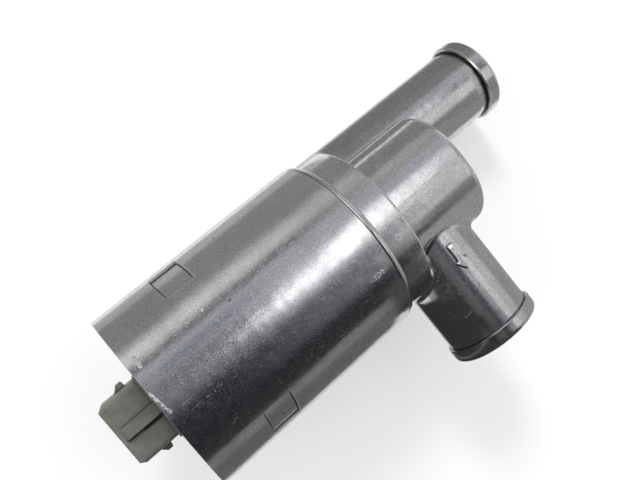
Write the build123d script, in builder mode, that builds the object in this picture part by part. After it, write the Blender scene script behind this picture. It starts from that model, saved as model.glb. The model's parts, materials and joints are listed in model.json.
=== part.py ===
from build123d import *
import os
from math import asin, cos, degrees, radians, sin, sqrt

os.makedirs("parts", exist_ok=True)

# Rotary idle air control valve. Millimetres. The X axis is the axis of the can, from the rear
# rim (x = 0) to the nose. The side stub leaves along -Y, and +Z is the side that shows.

# Housing, outside
can_r = 22.25
can_len = 55.7
can_wall = 2.5
shoulder_band = 1.7
shoulder_drop = 0.1
shoulder_draft = 0.12
shoulder_round = 1.1
groove_width = 0.45
groove_depth = 0.25
ring_step = 1.5
ring_len = 7.15
ring_edge = 0.6
nose_r = 14.6
nose_swell = 1.6
nose_len = 23.85
nose_edge = 1.8
nose_wall = 3.2
nose_end_wall = 2.8
side_junction_round = 1.6
end_junction_round = 1.0

# Side stub, square to the axis
side_setback = 8.25
side_r = 10.98
side_wall = 2.2
side_reach = 40.65
side_bore_len = 16.5
side_bead_r = 11.8
side_bead_len = 3.6

# End stub, parallel to the axis and beside the nose
end_r = 10.35
end_wall = 2.35
end_offset = 20.2
end_angle = -55.3
end_reach = 33.5
end_bore_len = 30.0
end_bead_r = 11.35
end_bead_len = 4.3
end_back = 3.5
end_floor = 1.0
end_back_round = 3.0
end_neck_len = 2.8
end_neck_drop = 0.3
bead_edge = 1.25
bead_shoulder_edge = 0.25
duct_step = 0.4

# Shallow pockets in the can, with floors that follow its round
pocket_x = 17.7
pocket_len = 7.2
pocket_width = 11.0
pocket_depth = 0.75
pocket_draft = 14.0
pocket_angles = (29.4, 142.2)

# Air port between the valve chamber and the end stub
port_setback = 2.2
port_len = 13.0
port_width = 9.0

# Rear end
lip_thick = 1.0
lip_in = 1.3
cap_thick = 5.0
cap_gap = 0.05
seal_setback = 1.6
seal_width = 1.7
seal_depth = 1.5
boss_r = 7.5
boss_len = 5.0

# Plug connector, moulded with the cap
plug_width = 15.0
plug_height = 10.4
plug_reach = 10.3
plug_wall = 1.25
plug_floor = 0.5
plug_corner = 1.2
mouth_chamfer_in = 0.8
mouth_chamfer_back = 1.2
mouth_corner = 0.6
collar_out = 0.8
collar_proud = 0.45
key_width = 2.7
key_height = 1.0
key_setback = 1.3
ramp_setback = 4.6
ramp_rise = 1.3
ramp_top = 1.2
ramp_fall = 0.3
ramp_height = 1.3
ramp_width = 5.0

# Terminals and brushes
blade_pitch = 5.0
blade_width = 2.8
blade_thick = 0.8
blade_setback = 1.3
web_setback = 2.0
arm_thick = 0.5
arm_height = 10.4
brush_len = 3.2
brush_width = 3.5
brush_gap = 0.1

# Bearing plate between the motor and the valve chamber
seat_back = 4.7
seat_step = 2.3
plate_flange = 3.5
plate_spigot = 6.0
recess_gap = 1.9
post_seat = 2.0
bush_wall = 2.0
seal_len = 2.0
seal_wall = 3.0

# Motor
pole_wall = 2.0
pole_len = 34.0
magnet_thick = 3.6
magnet_len = 28.0
magnet_span = 122.0
clip_thick = 0.6
clip_len = 18.0
clip_leg = 2.6
clip_gap = 1.0
air_gap = 0.5
core_len = 21.0
neck_width = 9.0
window_height = 16.0
coil_clear = 0.5
coil_width = 4.3
coil_gap = 0.15
end_turn = 2.6

# Rotor shaft and what it carries
shaft_r = 3.0
fit_gap = 0.01
run_gap = 0.03
end_play = 0.3
washer_thick = 0.5
washer_wall = 2.5
hub_wall = 3.0
segment_thick = 0.7
segment_span = 160.0
segment_edge = 0.6
collet_wall = 2.0
spring_thick = 0.4
spring_width = 2.0
spring_half_turns = 5
spring_pitch = 2.6
post_r = 0.8

# Rotary slide and its stop
travel = 70.0
rest_lead = 12.0
slide_gap = 0.2
slide_wall = 1.8
slide_half_angle = 31.0
disc_setback = 1.5
disc_thick = 1.5
slide_end_gap = 2.4
slide_hub_wall = 2.4
slide_hub_len = 9.0
stop_r = 1.0
stop_ring = 7.9
stop_gap = 0.3
stop_seat = 3.0
circlip_thick = 0.7
circlip_wall = 1.8
circlip_bite = 0.5
tail_len = 1.2
shaft_chamfer = 0.4

# Stations along X
ring_r = can_r - ring_step
ring_x0 = can_len
groove_x0 = ring_x0 - shoulder_band
ring_x1 = ring_x0 + ring_len
nose_x1 = ring_x1 + nose_len
side_x = ring_x1 + side_setback
end_x1 = nose_x1 + end_reach
end_bead_x = end_x1 - end_bead_len
end_x0 = ring_x1 - end_back
cap_x0 = lip_thick
cap_x1 = cap_x0 + cap_thick
boss_x1 = cap_x1 + boss_len
seat_x = ring_x0 - seat_back
plate_x0 = seat_x - plate_flange
plate_x1 = seat_x + plate_spigot
chamber_x1 = nose_x1 - nose_end_wall
magnet_mid = plate_x0 - pole_len / 2
coil_x0 = magnet_mid - core_len / 2 - end_turn
coil_x1 = magnet_mid + core_len / 2 + end_turn
hub_x0 = boss_x1 + washer_thick + end_play
hub_x1 = coil_x0 - end_play
disc_x0 = plate_x1 + disc_setback
disc_x1 = disc_x0 + disc_thick
slide_hub_x1 = disc_x0 + slide_hub_len
shaft_x0 = cap_x1 + end_play
shaft_x1 = slide_hub_x1 + circlip_thick + tail_len
mouth_x = -plug_reach

# Radii
shoulder_r = can_r - shoulder_drop
pocket_edge = sqrt(can_r ** 2 - (pocket_width / 2) ** 2)
bore_r = can_r - can_wall
seat_r = bore_r - seat_step
chamber_r = nose_r - nose_wall
side_bore_r = side_r - side_wall
end_bore_r = end_r - end_wall
cap_r = bore_r - cap_gap
pole_r = bore_r - cap_gap
magnet_r = pole_r - pole_wall - cap_gap
core_r = magnet_r - magnet_thick - air_gap
bush_r = shaft_r + run_gap + bush_wall
seat_seal_r = shaft_r + seal_wall
hub_r = shaft_r + hub_wall
segment_r = hub_r + segment_thick
slide_r = chamber_r - slide_gap
end_y = end_offset * cos(radians(end_angle))
end_z = end_offset * sin(radians(end_angle))


def section(x0, x1, r0, r1):
    """Half section of a turned ring, drawn beside the X axis."""
    with Locations(((x0 + x1) / 2, (r0 + r1) / 2)):
        Rectangle(x1 - x0, r1 - r0)


def stub_section(x0, x1, r, bead_x, bead_r):
    """Half section of a hose stub: a plain run, a square shoulder and a rounded bead."""
    Polygon((x0, 0), (x0, r), (bead_x, r), (bead_x, bead_r), (x1, bead_r), (x1, 0), align=None)
    fillet(vertices().sort_by_distance((x1, bead_r))[0], bead_edge)
    chamfer(vertices().sort_by_distance((bead_x, bead_r))[0], bead_shoulder_edge)


def across(x, angle=0.0):
    """Plane square to the can axis at x, with its own x axis turned by angle from +Y to +Z."""
    turn = radians(angle)
    return Plane(origin=(x, 0, 0), x_dir=(0, cos(turn), sin(turn)), z_dir=(1, 0, 0))


def facing(x, angle, radius):
    """Plane that faces outwards from the can axis at a radius, with its own x axis along the can."""
    turn = radians(angle)
    out = Vector(0, cos(turn), sin(turn))
    return Plane(origin=Vector(x, 0, 0) + out * radius, x_dir=(1, 0, 0), z_dir=out)


def sector(r0, r1, half_angle):
    """Ring sector about the sketch origin, centred on the sketch's own x axis."""
    spread = radians(half_angle)
    far = 4 * r1
    Circle(r1)
    Circle(r0, mode=Mode.SUBTRACT)
    Polygon((0, 0), (far * cos(spread), -far * sin(spread)), (far, 0),
            (far * cos(spread), far * sin(spread)), align=None, mode=Mode.INTERSECT)


# Die-cast housing: can, shoulder ring, nose and both hose stubs in one piece
side_plane = Plane(origin=(side_x, 0, 0), x_dir=(0, -1, 0), z_dir=(0, 0, 1))
side_axis = Axis((side_x, 0, 0), (0, -1, 0))
end_plane = Plane(origin=(0, end_y, end_z), x_dir=(1, 0, 0), z_dir=(0, 0, 1))
end_axis = Axis((0, end_y, end_z), (1, 0, 0))
with BuildPart() as pockets:
    for angle in pocket_angles:
        with BuildSketch(facing(pocket_x, angle, pocket_edge)) as mouth:
            Rectangle(pocket_len, pocket_width)
        extrude(mouth.sketch, amount=can_r - pocket_edge, taper=-pocket_draft)
        extrude(mouth.sketch, amount=pocket_edge - can_r - pocket_depth, taper=pocket_draft)
    with BuildSketch():
        section(pocket_x - pocket_len, pocket_x + pocket_len, 0, can_r - pocket_depth)
    revolve(axis=Axis.X, mode=Mode.SUBTRACT)
with BuildPart() as housing:
    with BuildSketch():
        Polygon((0, 0), (0, can_r), (groove_x0, can_r), (groove_x0 + groove_width / 2, can_r - groove_depth),
                (groove_x0 + groove_width, shoulder_r), (ring_x0, shoulder_r - shoulder_draft),
                (ring_x0, ring_r), (ring_x1, ring_r), (ring_x1, 0), align=None)
        fillet(vertices().sort_by_distance((ring_x0, shoulder_r - shoulder_draft))[0], shoulder_round)
        fillet(vertices().sort_by_distance((ring_x1, ring_r))[0], ring_edge)
    revolve(axis=Axis.X)
    with BuildSketch(across(ring_x1, 180)):
        with Locations((nose_swell / 2, 0)):
            SlotCenterToCenter(nose_swell, 2 * nose_r)
    extrude(amount=nose_len)
    fillet(faces().sort_by(Axis.X)[-1].edges(), nose_edge)
    with BuildSketch(end_plane):
        stub_section(end_x0, end_x1, end_r, end_bead_x, end_bead_r)
        Polygon((end_bead_x - end_neck_len, end_r), (end_bead_x, end_r),
                (end_bead_x, end_r - end_neck_drop), align=None, mode=Mode.SUBTRACT)
        fillet(vertices().sort_by_distance((end_x0, end_r))[0], end_back_round)
    revolve(axis=end_axis)
    fillet(edges(Select.NEW), end_junction_round)
    with BuildSketch(side_plane):
        stub_section(0, side_reach, side_r, side_reach - side_bead_len, side_bead_r)
    revolve(axis=side_axis)
    fillet(edges(Select.NEW), side_junction_round)
    with BuildSketch():
        section(-lip_thick, lip_thick, 0, bore_r - lip_in)
        section(lip_thick, seat_x, 0, bore_r)
        section(seat_x, plate_x1, 0, seat_r)
        section(plate_x1, chamber_x1, 0, chamber_r)
    revolve(axis=Axis.X, mode=Mode.SUBTRACT)
    with BuildSketch(side_plane):
        section(0, side_reach, 0, side_bore_r - duct_step)
        section(side_reach - side_bore_len, side_reach, 0, side_bore_r)
    revolve(axis=side_axis, mode=Mode.SUBTRACT)
    with BuildSketch(end_plane):
        section(ring_x1 + end_floor, end_x1, 0, end_bore_r - duct_step)
        section(end_x1 - end_bore_len, end_x1, 0, end_bore_r)
    revolve(axis=end_axis, mode=Mode.SUBTRACT)
    with BuildSketch(facing(ring_x1 + port_setback + port_len / 2, end_angle, 0)):
        Rectangle(port_len, port_width)
    extrude(amount=end_offset, mode=Mode.SUBTRACT)
    add(pockets.part, mode=Mode.SUBTRACT)
housing.part.label = "housing"
export_step(housing.part, "parts/housing.step")

# Terminals: a plug blade, a web buried in the cap and a spring arm to the brush, bent from one strip
web_x1 = cap_x0 + web_setback
web_x0 = web_x1 - blade_thick
web_y0 = (blade_pitch - blade_thick) / 2
web_y1 = web_y0 + blade_width
arm_top = arm_height + arm_thick
brush_x0 = (hub_x0 + hub_x1 - brush_len) / 2
terminals = {}
for name, turn in (("terminal_a", 0), ("terminal_b", 180)):
    with BuildPart() as terminal:
        with BuildSketch(across(mouth_x + blade_setback, turn)):
            with Locations((blade_pitch / 2, 0)):
                Rectangle(blade_thick, blade_width)
        extrude(amount=web_x1 - mouth_x - blade_setback)
        with BuildSketch(across(web_x0, turn)):
            with Locations((web_y0, -blade_width / 2)):
                Rectangle(blade_width, blade_width / 2 + arm_top, align=Align.MIN)
        extrude(amount=blade_thick)
        with BuildSketch(across(web_x0, turn)):
            with Locations((web_y0, arm_height)):
                Rectangle(blade_width, arm_thick, align=Align.MIN)
        extrude(amount=brush_x0 + brush_len - web_x0)
        with BuildSketch(across(brush_x0, turn)):
            with Locations((-brush_width / 2, arm_height)):
                Rectangle(brush_width / 2 + web_y1, arm_thick, align=Align.MIN)
        extrude(amount=brush_len)
    terminal.part.label = name
    terminals[name] = terminal.part
    export_step(terminal.part, f"parts/{name}.step")

# Carbon brushes under the arms, hollowed to ride on the slip segments
for name, turn in (("brush_a", 0), ("brush_b", 180)):
    with BuildPart() as brush:
        with BuildSketch(across(brush_x0, turn)):
            with Locations((0, arm_height / 2)):
                Rectangle(brush_width, arm_height)
            Circle(segment_r + brush_gap, mode=Mode.SUBTRACT)
        extrude(amount=brush_len)
    brush.part.label = name
    export_step(brush.part, f"parts/{name}.step")

# End cap with the rear bearing boss and the plug shroud, moulded round the terminals
plug_plane = Plane(origin=(cap_x0, 0, 0), x_dir=(0, -1, 0), z_dir=(-1, 0, 0))
plug_len = cap_x0 + plug_reach
ramp_x = mouth_x + ramp_setback
ramp_y = plug_width / 2
with BuildPart() as end_cap:
    with BuildSketch(plug_plane):
        Rectangle(plug_width, plug_height)
    extrude(amount=plug_len)
    fillet(edges().filter_by(Axis.X), plug_corner)
    mouth = faces().sort_by(Axis.X)[0]
    chamfer(mouth.edges(), mouth_chamfer_in, mouth_chamfer_back, reference=mouth)
    with BuildSketch(plug_plane):
        Rectangle(plug_width + 2 * collar_proud, plug_height + 2 * collar_proud)
    extrude(amount=cap_x0 + collar_out)
    with BuildSketch(plug_plane):
        with Locations((0, plug_height / 2 - plug_wall / 2)):
            Rectangle(key_width, key_height + plug_wall / 2, align=(Align.CENTER, Align.MIN))
    extrude(amount=plug_len - key_setback)
    with BuildSketch(Plane.XY.offset(-ramp_width / 2)):
        Polygon((ramp_x, ramp_y - plug_wall / 2), (ramp_x, ramp_y),
                (ramp_x + ramp_rise, ramp_y + ramp_height),
                (ramp_x + ramp_rise + ramp_top, ramp_y + ramp_height),
                (ramp_x + ramp_rise + ramp_top + ramp_fall, ramp_y - plug_wall / 2), align=None)
        mirror(about=Plane.XZ)
    extrude(amount=ramp_width)
    with BuildSketch(plug_plane.offset(plug_len)):
        RectangleRounded(plug_width - 2 * plug_wall, plug_height - 2 * plug_wall, mouth_corner)
    extrude(amount=plug_floor - plug_reach, mode=Mode.SUBTRACT)
    with BuildSketch():
        section(cap_x0, cap_x1, 0, cap_r)
        section(cap_x1, boss_x1, 0, boss_r)
    revolve(axis=Axis.X)
    with BuildSketch():
        section(cap_x1, boss_x1, 0, bush_r)
        section(cap_x0 + seal_setback, cap_x0 + seal_setback + seal_width, cap_r - seal_depth, can_r)
    revolve(axis=Axis.X, mode=Mode.SUBTRACT)
    for terminal_part in terminals.values():
        add(terminal_part, mode=Mode.SUBTRACT)
end_cap.part.label = "end_cap"
export_step(end_cap.part, "parts/end_cap.step")

# Square-cut sealing ring in the cap's groove
with BuildPart() as cap_seal:
    with BuildSketch():
        section(cap_x0 + seal_setback + fit_gap, cap_x0 + seal_setback + seal_width - fit_gap,
                cap_r - seal_depth + fit_gap, bore_r - fit_gap)
    revolve(axis=Axis.X)
cap_seal.part.label = "cap_seal"
export_step(cap_seal.part, "parts/cap_seal.step")

# Sintered bushes, one in the cap and one in the bearing plate
for name, x0, x1 in (("rear_bush", cap_x1, boss_x1), ("front_bush", seat_x, plate_x1 - seal_len)):
    with BuildPart() as bush:
        with BuildSketch():
            section(x0, x1, shaft_r + run_gap, bush_r - fit_gap)
        revolve(axis=Axis.X)
    bush.part.label = name
    export_step(bush.part, f"parts/{name}.step")

# Bearing plate: flange on the can's step, spigot towards the chamber, recess for the return spring
spring_r0 = shaft_r + collet_wall + spring_thick
spring_r1 = spring_r0 + (spring_half_turns - 1) * spring_pitch / 2
post_ring = spring_r1 + spring_thick + post_r
rest_angle = end_angle - rest_lead
stop_angle = rest_angle + 180 + travel / 2
with BuildPart() as bearing_plate:
    with BuildSketch():
        section(plate_x0, seat_x, post_ring + post_r + recess_gap, bore_r - cap_gap)
        section(seat_x, plate_x1, bush_r, seat_r - cap_gap)
    revolve(axis=Axis.X)
    with BuildSketch():
        section(plate_x1 - seal_len, plate_x1, 0, seat_seal_r)
    revolve(axis=Axis.X, mode=Mode.SUBTRACT)
    with BuildSketch(across(plate_x1 - stop_seat, stop_angle)):
        with Locations((stop_ring, 0)):
            Circle(stop_r + fit_gap)
    extrude(amount=stop_seat, mode=Mode.SUBTRACT)
    with BuildSketch(across(seat_x, 180)):
        with Locations((post_ring, 0)):
            Circle(post_r + fit_gap)
    extrude(amount=post_seat, mode=Mode.SUBTRACT)
bearing_plate.part.label = "bearing_plate"
export_step(bearing_plate.part, "parts/bearing_plate.step")

# Lip seal round the shaft, in front of the front bush
lip_r = shaft_r + run_gap + seal_wall / 4
ring_in = seat_seal_r - seal_wall / 3
with BuildPart() as shaft_seal:
    with BuildSketch():
        section(plate_x1 - seal_len, plate_x1, ring_in, seat_seal_r - fit_gap)
        section(plate_x1 - seal_len / 3, plate_x1, shaft_r + run_gap, ring_in)
        section(plate_x1 - seal_len * 2 / 3, plate_x1, shaft_r + run_gap, lip_r)
    revolve(axis=Axis.X)
shaft_seal.part.label = "shaft_seal"
export_step(shaft_seal.part, "parts/shaft_seal.step")

# Stop pin for the slide and anchor post for the spring, both pressed into the plate
with BuildPart() as stop_pin:
    with BuildSketch(across(plate_x1 - stop_seat, stop_angle)):
        with Locations((stop_ring, 0)):
            Circle(stop_r)
    extrude(amount=stop_seat + disc_setback + disc_thick)
stop_pin.part.label = "stop_pin"
export_step(stop_pin.part, "parts/stop_pin.step")

spring_x0 = seat_x - plate_flange / 2 - spring_width / 2
with BuildPart() as spring_post:
    with BuildSketch(across(spring_x0, 180)):
        with Locations((post_ring, 0)):
            Circle(post_r)
    extrude(amount=seat_x + post_seat - spring_x0)
spring_post.part.label = "spring_post"
export_step(spring_post.part, "parts/spring_post.step")

# Steel pole tube, arc magnets and the spring clips that hold them apart
with BuildPart() as pole_tube:
    with BuildSketch():
        section(plate_x0 - pole_len, plate_x0, pole_r - pole_wall, pole_r)
    revolve(axis=Axis.X)
pole_tube.part.label = "pole_tube"
export_step(pole_tube.part, "parts/pole_tube.step")

for name, turn in (("magnet_a", 90), ("magnet_b", 270)):
    with BuildPart() as magnet:
        with BuildSketch(across(magnet_mid - magnet_len / 2, turn)):
            sector(magnet_r - magnet_thick, magnet_r, magnet_span / 2)
        extrude(amount=magnet_len)
    magnet.part.label = name
    export_step(magnet.part, f"parts/{name}.step")

clip_half_angle = 90 - magnet_span / 2 - clip_gap
clip_leg_angle = degrees(asin(clip_thick / (magnet_r - clip_leg)))
with BuildPart() as magnet_clips:
    for turn in (0, 180):
        with BuildSketch(across(magnet_mid - clip_len / 2, turn)):
            sector(magnet_r - clip_leg, magnet_r, clip_half_angle)
        extrude(amount=clip_len)
        with BuildSketch(across(magnet_mid - clip_len / 2, turn)):
            sector(magnet_r - 2 * clip_leg, magnet_r - clip_thick, clip_half_angle - clip_leg_angle)
        extrude(amount=clip_len, mode=Mode.SUBTRACT)
magnet_clips.part.label = "magnet_clips"
export_step(magnet_clips.part, "parts/magnet_clips.step")

# Spiral return spring in the plate's recess, drawn as half circles of growing radius
with BuildPart() as return_spring:
    with BuildSketch(across(spring_x0)):
        with BuildLine():
            for half in range(spring_half_turns):
                odd = half % 2
                CenterArc((odd * spring_pitch / 2, 0), spring_r0 + half * spring_pitch / 2, 180 * odd, 180)
        trace(line_width=spring_thick)
    extrude(amount=spring_width)
return_spring.part.label = "return_spring"
export_step(return_spring.part, "parts/return_spring.step")

# Rotor shaft with the groove for the slide's circlip
with BuildPart() as shaft:
    with BuildSketch():
        section(shaft_x0, shaft_x1, 0, shaft_r)
        chamfer(vertices().group_by(Axis.Y)[-1], shaft_chamfer)
        with Locations((slide_hub_x1, shaft_r - circlip_bite)):
            Rectangle(circlip_thick, can_r, align=Align.MIN, mode=Mode.SUBTRACT)
    revolve(axis=Axis.X)
shaft.part.label = "shaft"
export_step(shaft.part, "parts/shaft.step")

# Two-pole armature: core with a neck and two pole shoes, and a coil on each side of the shaft
core_angle = -travel / 2
with BuildPart() as armature_core:
    with BuildSketch(across(magnet_mid - core_len / 2, core_angle)):
        Circle(core_r)
        with Locations((0, neck_width / 2)):
            Rectangle(window_height, core_r, align=(Align.CENTER, Align.MIN), mode=Mode.SUBTRACT)
        with Locations((0, -neck_width / 2)):
            Rectangle(window_height, core_r, align=(Align.CENTER, Align.MAX), mode=Mode.SUBTRACT)
        Circle(shaft_r + fit_gap, mode=Mode.SUBTRACT)
    extrude(amount=core_len)
armature_core.part.label = "armature_core"
export_step(armature_core.part, "parts/armature_core.step")

coil_end = window_height / 2 - coil_gap
coil_half = sqrt(core_r**2 - coil_end**2) - coil_clear
coil_hole = neck_width + 2 * coil_gap
for name, turn in (("coil_a", core_angle), ("coil_b", core_angle + 180)):
    with BuildPart() as coil:
        with BuildSketch(facing(magnet_mid, turn, coil_end - coil_width)):
            RectangleRounded(core_len + 2 * end_turn, 2 * coil_half, end_turn / 2)
            Rectangle(core_len + 2 * coil_gap, coil_hole, mode=Mode.SUBTRACT)
        extrude(amount=coil_width)
    coil.part.label = name
    export_step(coil.part, f"parts/{name}.step")

# Thrust washers beside the two bushes
with BuildPart() as thrust_washers:
    with BuildSketch():
        for x0 in (boss_x1 + end_play / 2, seat_x - end_play / 2 - washer_thick):
            section(x0, x0 + washer_thick, shaft_r + run_gap, shaft_r + washer_wall)
    revolve(axis=Axis.X)
thrust_washers.part.label = "thrust_washers"
export_step(thrust_washers.part, "parts/thrust_washers.step")

# Slip hub and its two copper segments
with BuildPart() as slip_hub:
    with BuildSketch():
        section(hub_x0, hub_x1, shaft_r + fit_gap, hub_r)
    revolve(axis=Axis.X)
slip_hub.part.label = "slip_hub"
export_step(slip_hub.part, "parts/slip_hub.step")

with BuildPart() as slip_segments:
    for turn in (90 - travel / 2, 270 - travel / 2):
        with BuildSketch(across(hub_x0 + segment_edge, turn)):
            sector(hub_r + fit_gap, segment_r, segment_span / 2)
        extrude(amount=hub_x1 - hub_x0 - 2 * segment_edge)
slip_segments.part.label = "slip_segments"
export_step(slip_segments.part, "parts/slip_segments.step")

# Collet that carries the inner end of the return spring
with BuildPart() as spring_collet:
    with BuildSketch():
        section(coil_x1 + end_play, seat_x - washer_thick - end_play,
                shaft_r + fit_gap, shaft_r + collet_wall)
    revolve(axis=Axis.X)
spring_collet.part.label = "spring_collet"
export_step(spring_collet.part, "parts/spring_collet.step")

# Rotary slide: hub, disc with the stop's slot, and the wall that covers the port
slot_centre = CenterArc((0, 0), stop_ring, stop_angle - travel, travel)
with BuildPart() as rotary_slide:
    with BuildSketch(across(disc_x0)):
        Circle(slide_r)
        Circle(shaft_r + fit_gap, mode=Mode.SUBTRACT)
        SlotArc(slot_centre, 2 * (stop_r + stop_gap), mode=Mode.SUBTRACT)
    extrude(amount=disc_thick)
    with BuildSketch(across(disc_x1)):
        Circle(shaft_r + slide_hub_wall)
        Circle(shaft_r + fit_gap, mode=Mode.SUBTRACT)
    extrude(amount=slide_hub_len - disc_thick)
    with BuildSketch(across(disc_x1, rest_angle)):
        sector(slide_r - slide_wall, slide_r, slide_half_angle)
    extrude(amount=chamber_x1 - slide_end_gap - disc_x1)
rotary_slide.part.label = "rotary_slide"
export_step(rotary_slide.part, "parts/rotary_slide.step")

with BuildPart() as circlip:
    with BuildSketch(across(slide_hub_x1, rest_angle)):
        groove_r = shaft_r - circlip_bite + fit_gap
        Circle(groove_r + circlip_wall)
        Circle(groove_r, mode=Mode.SUBTRACT)
        with Locations((-shaft_r, 0)):
            Rectangle(2 * shaft_r, shaft_r, mode=Mode.SUBTRACT)
    extrude(amount=circlip_thick)
circlip.part.label = "circlip"
export_step(circlip.part, "parts/circlip.step")
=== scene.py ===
"""Rotary idle air control valve: finishes, cast marks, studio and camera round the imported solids.

Lengths are in metres in the valve's own frame: X is the can's axis from the rear rim to the nose,
the side stub leaves along -Y, and +Z is the side that shows.
"""
import json
import math
import bpy
from mathutils import Matrix, Vector


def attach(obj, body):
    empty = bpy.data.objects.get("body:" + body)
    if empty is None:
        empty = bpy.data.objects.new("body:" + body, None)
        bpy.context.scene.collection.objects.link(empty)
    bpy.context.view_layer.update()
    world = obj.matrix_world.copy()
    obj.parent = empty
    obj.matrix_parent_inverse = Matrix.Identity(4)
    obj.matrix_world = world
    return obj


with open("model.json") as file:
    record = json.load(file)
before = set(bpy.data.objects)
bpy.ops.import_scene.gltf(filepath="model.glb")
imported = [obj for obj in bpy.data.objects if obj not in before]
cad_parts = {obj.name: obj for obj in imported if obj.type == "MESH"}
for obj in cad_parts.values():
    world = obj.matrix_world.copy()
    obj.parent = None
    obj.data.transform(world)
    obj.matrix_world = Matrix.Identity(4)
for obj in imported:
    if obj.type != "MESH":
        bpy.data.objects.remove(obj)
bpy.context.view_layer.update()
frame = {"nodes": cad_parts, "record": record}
nodes = frame["nodes"]

MM = 0.001

# Camera, fitted to the outline of the photographed valve
CAMERA_PLACE = (0.003225, 0.014879, 0.164444)
IMAGE_RIGHT = (0.73501, -0.62885, 0.25361)
IMAGE_DOWN = (-0.61816, -0.77514, -0.13050)
FORWARD = (0.27865, -0.06085, -0.95846)
FOCAL_PX = 734.2
IMAGE_WIDTH_PX = 640.0
SENSOR_MM = 36.0
CLIP_START = 0.01
CLIP_END = 50.0

# Places on the casting, in millimetres
CAN_R = 22.25
SIDE_X = 71.1
SIDE_R = 10.98
SIDE_SHOULDER_Y = -37.05
END_Y = 11.5
END_Z = -16.607
END_SHOULDER_X = 115.9
FLOOR_Z = -28.5
FLOOR_GLOW = 0.5
FLOOR_SIZE = 12.0
FLOOR_COLOR = (0.9, 0.9, 0.9, 1)

POCKET_X = 17.7
POCKET_LEN = 7.2
POCKET_WIDTH = 11.0
POCKET_ANGLES = (29.4, 142.2)
GROOVE_X = 54.22

# Rubbed patches on the skin: centre and half lengths
RUB_MARKS = (
    ((59.3, -4.6, 20.2), (1.5, 1.3, 1.3)),
    ((50.0, -7.6, 20.9), (2.8, 0.9, 0.9)),
    ((72.2, -3.2, 14.5), (3.0, 0.9, 0.9)),
    ((24.8, 2.4, 22.1), (3.5, 0.8, 0.8)),
)

# Gouges in the skin: both ends and half width
GOUGES = (
    ((0.25, 4.2, 21.85), (1.03, -0.88, 22.23), 0.42),
    ((2.25, 11.1, 19.28), (2.1, 9.3, 20.21), 0.55),
    ((63.8, -30.5, 8.2), (65.7, -30.1, 9.55), 0.1),
    ((18.0, 10.45, 19.65), (17.6, 9.8, 19.98), 0.3),
    ((13.7, 10.4, 19.67), (14.2, 10.0, 19.88), 0.3),
)

# Small dark pits
PITS = (
    (18.12, 1.46, 22.2),
    (12.18, 2.1, 22.15),
    (26.87, 21.06, 7.17),
    (30.2, 19.9, 9.95),
    (23.0, 8.1, 20.7),
)
PIT_R = 0.42

# Colours of the casting and of the marks on it
CAST_DARK = (0.57, 0.57, 0.565, 1)
CAST_LIGHT = (0.78, 0.78, 0.78, 1)
CLOUD_DARK = (0.48, 0.48, 0.465, 1)
CLOUD_LIGHT = (0.70, 0.70, 0.695, 1)
GREASE_COLOR = (0.40, 0.395, 0.435, 1)
BARE_COLOR = (0.88, 0.88, 0.88, 1)
# Worn edges, lightened also as a painted highlight
WORN_HIGHLIGHT_COLOR = (0.88, 0.88, 0.87, 1)
POCKET_WALL_COLOR = (0.80, 0.80, 0.79, 1)
# Painted shade for the casting's corners and grooves, also used for its dark pits
PAINTED_SHADE_COLOR = (0.035, 0.033, 0.03, 1)
STAIN_COLOR = (0.10, 0.058, 0.03, 1)
CUT_FACE_COLOR = (0.33, 0.33, 0.325, 1)
# Painted shade and painted shadow on the plastic
PLUG_SHADE_COLOR = (0.012, 0.012, 0.01, 1)

# Where kinds of skin begin on the casting: both ends of a soft step, in millimetres
RAW_X = (61.0, 66.0)
RAW_Y = (-21.5, -23.0)
CUT_FACE_X = (0.15, 0.05)
# The corner limits bound painted shade in the stubs' inside corners
SIDE_CORNER_R = (11.6, 11.2)
END_CORNER_R = (11.0, 10.6)
# The end wear limits bound a worn line that is lightened also as a painted highlight
END_WEAR_R = (10.6, 10.8)
RIM_R = (21.0, 21.8)
NECK_R = (10.0, 10.5)
NECK_X = (92.0, 94.0)

# Relief of the casting's skin in millimetres, and the gouges' sway in half widths
WAVE_DEPTH = 0.08
GRAIN_DEPTH = 0.005
CUT_DEPTH = 0.02
GOUGE_HEIGHT = 0.08
GOUGE_SWAY = 2.4

# Punch mark on the floor of the second pocket
PUNCH_X = 17.9
PUNCH_ANGLE = 143.9
PUNCH_R = 0.55
PUNCH_SIDES = 20
PUNCH_SUNK = 0.03
# Each ring's share of the last one's radius, and its rise
PUNCH_RINGS = ((0.80, 0.14), (0.80, 0.04), (0.72, -0.16), (0.40, -0.06))
POCKET_FLOOR_R = 21.5

# Painted shadow along one foot of the plug's key rib: both ends and half width
RIB_SHADOW = (
    ((-9.0, -1.45, 5.2), (1.0, -1.6, 5.2), 0.65),
    ((-5.0, -1.6, 5.2), (1.0, -1.75, 5.2), 0.9),
)

# Flow arrow on the side stub
ARROW_X = 70.95
ARROW_TAIL_Y = -14.6
ARROW_NECK_Y = -18.9
ARROW_TIP_Y = -21.7
ARROW_SHAFT = 1.75
ARROW_HEAD = 3.8
ARROW_PROUD = 0.65
ARROW_SUNK = 0.2
ARROW_SLOPE = 0.28
ARROW_START_ABOVE = 1.0
ARROW_EDGE_ANGLE = 40
ARROW_SMOOTH_ANGLE = 35

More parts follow.
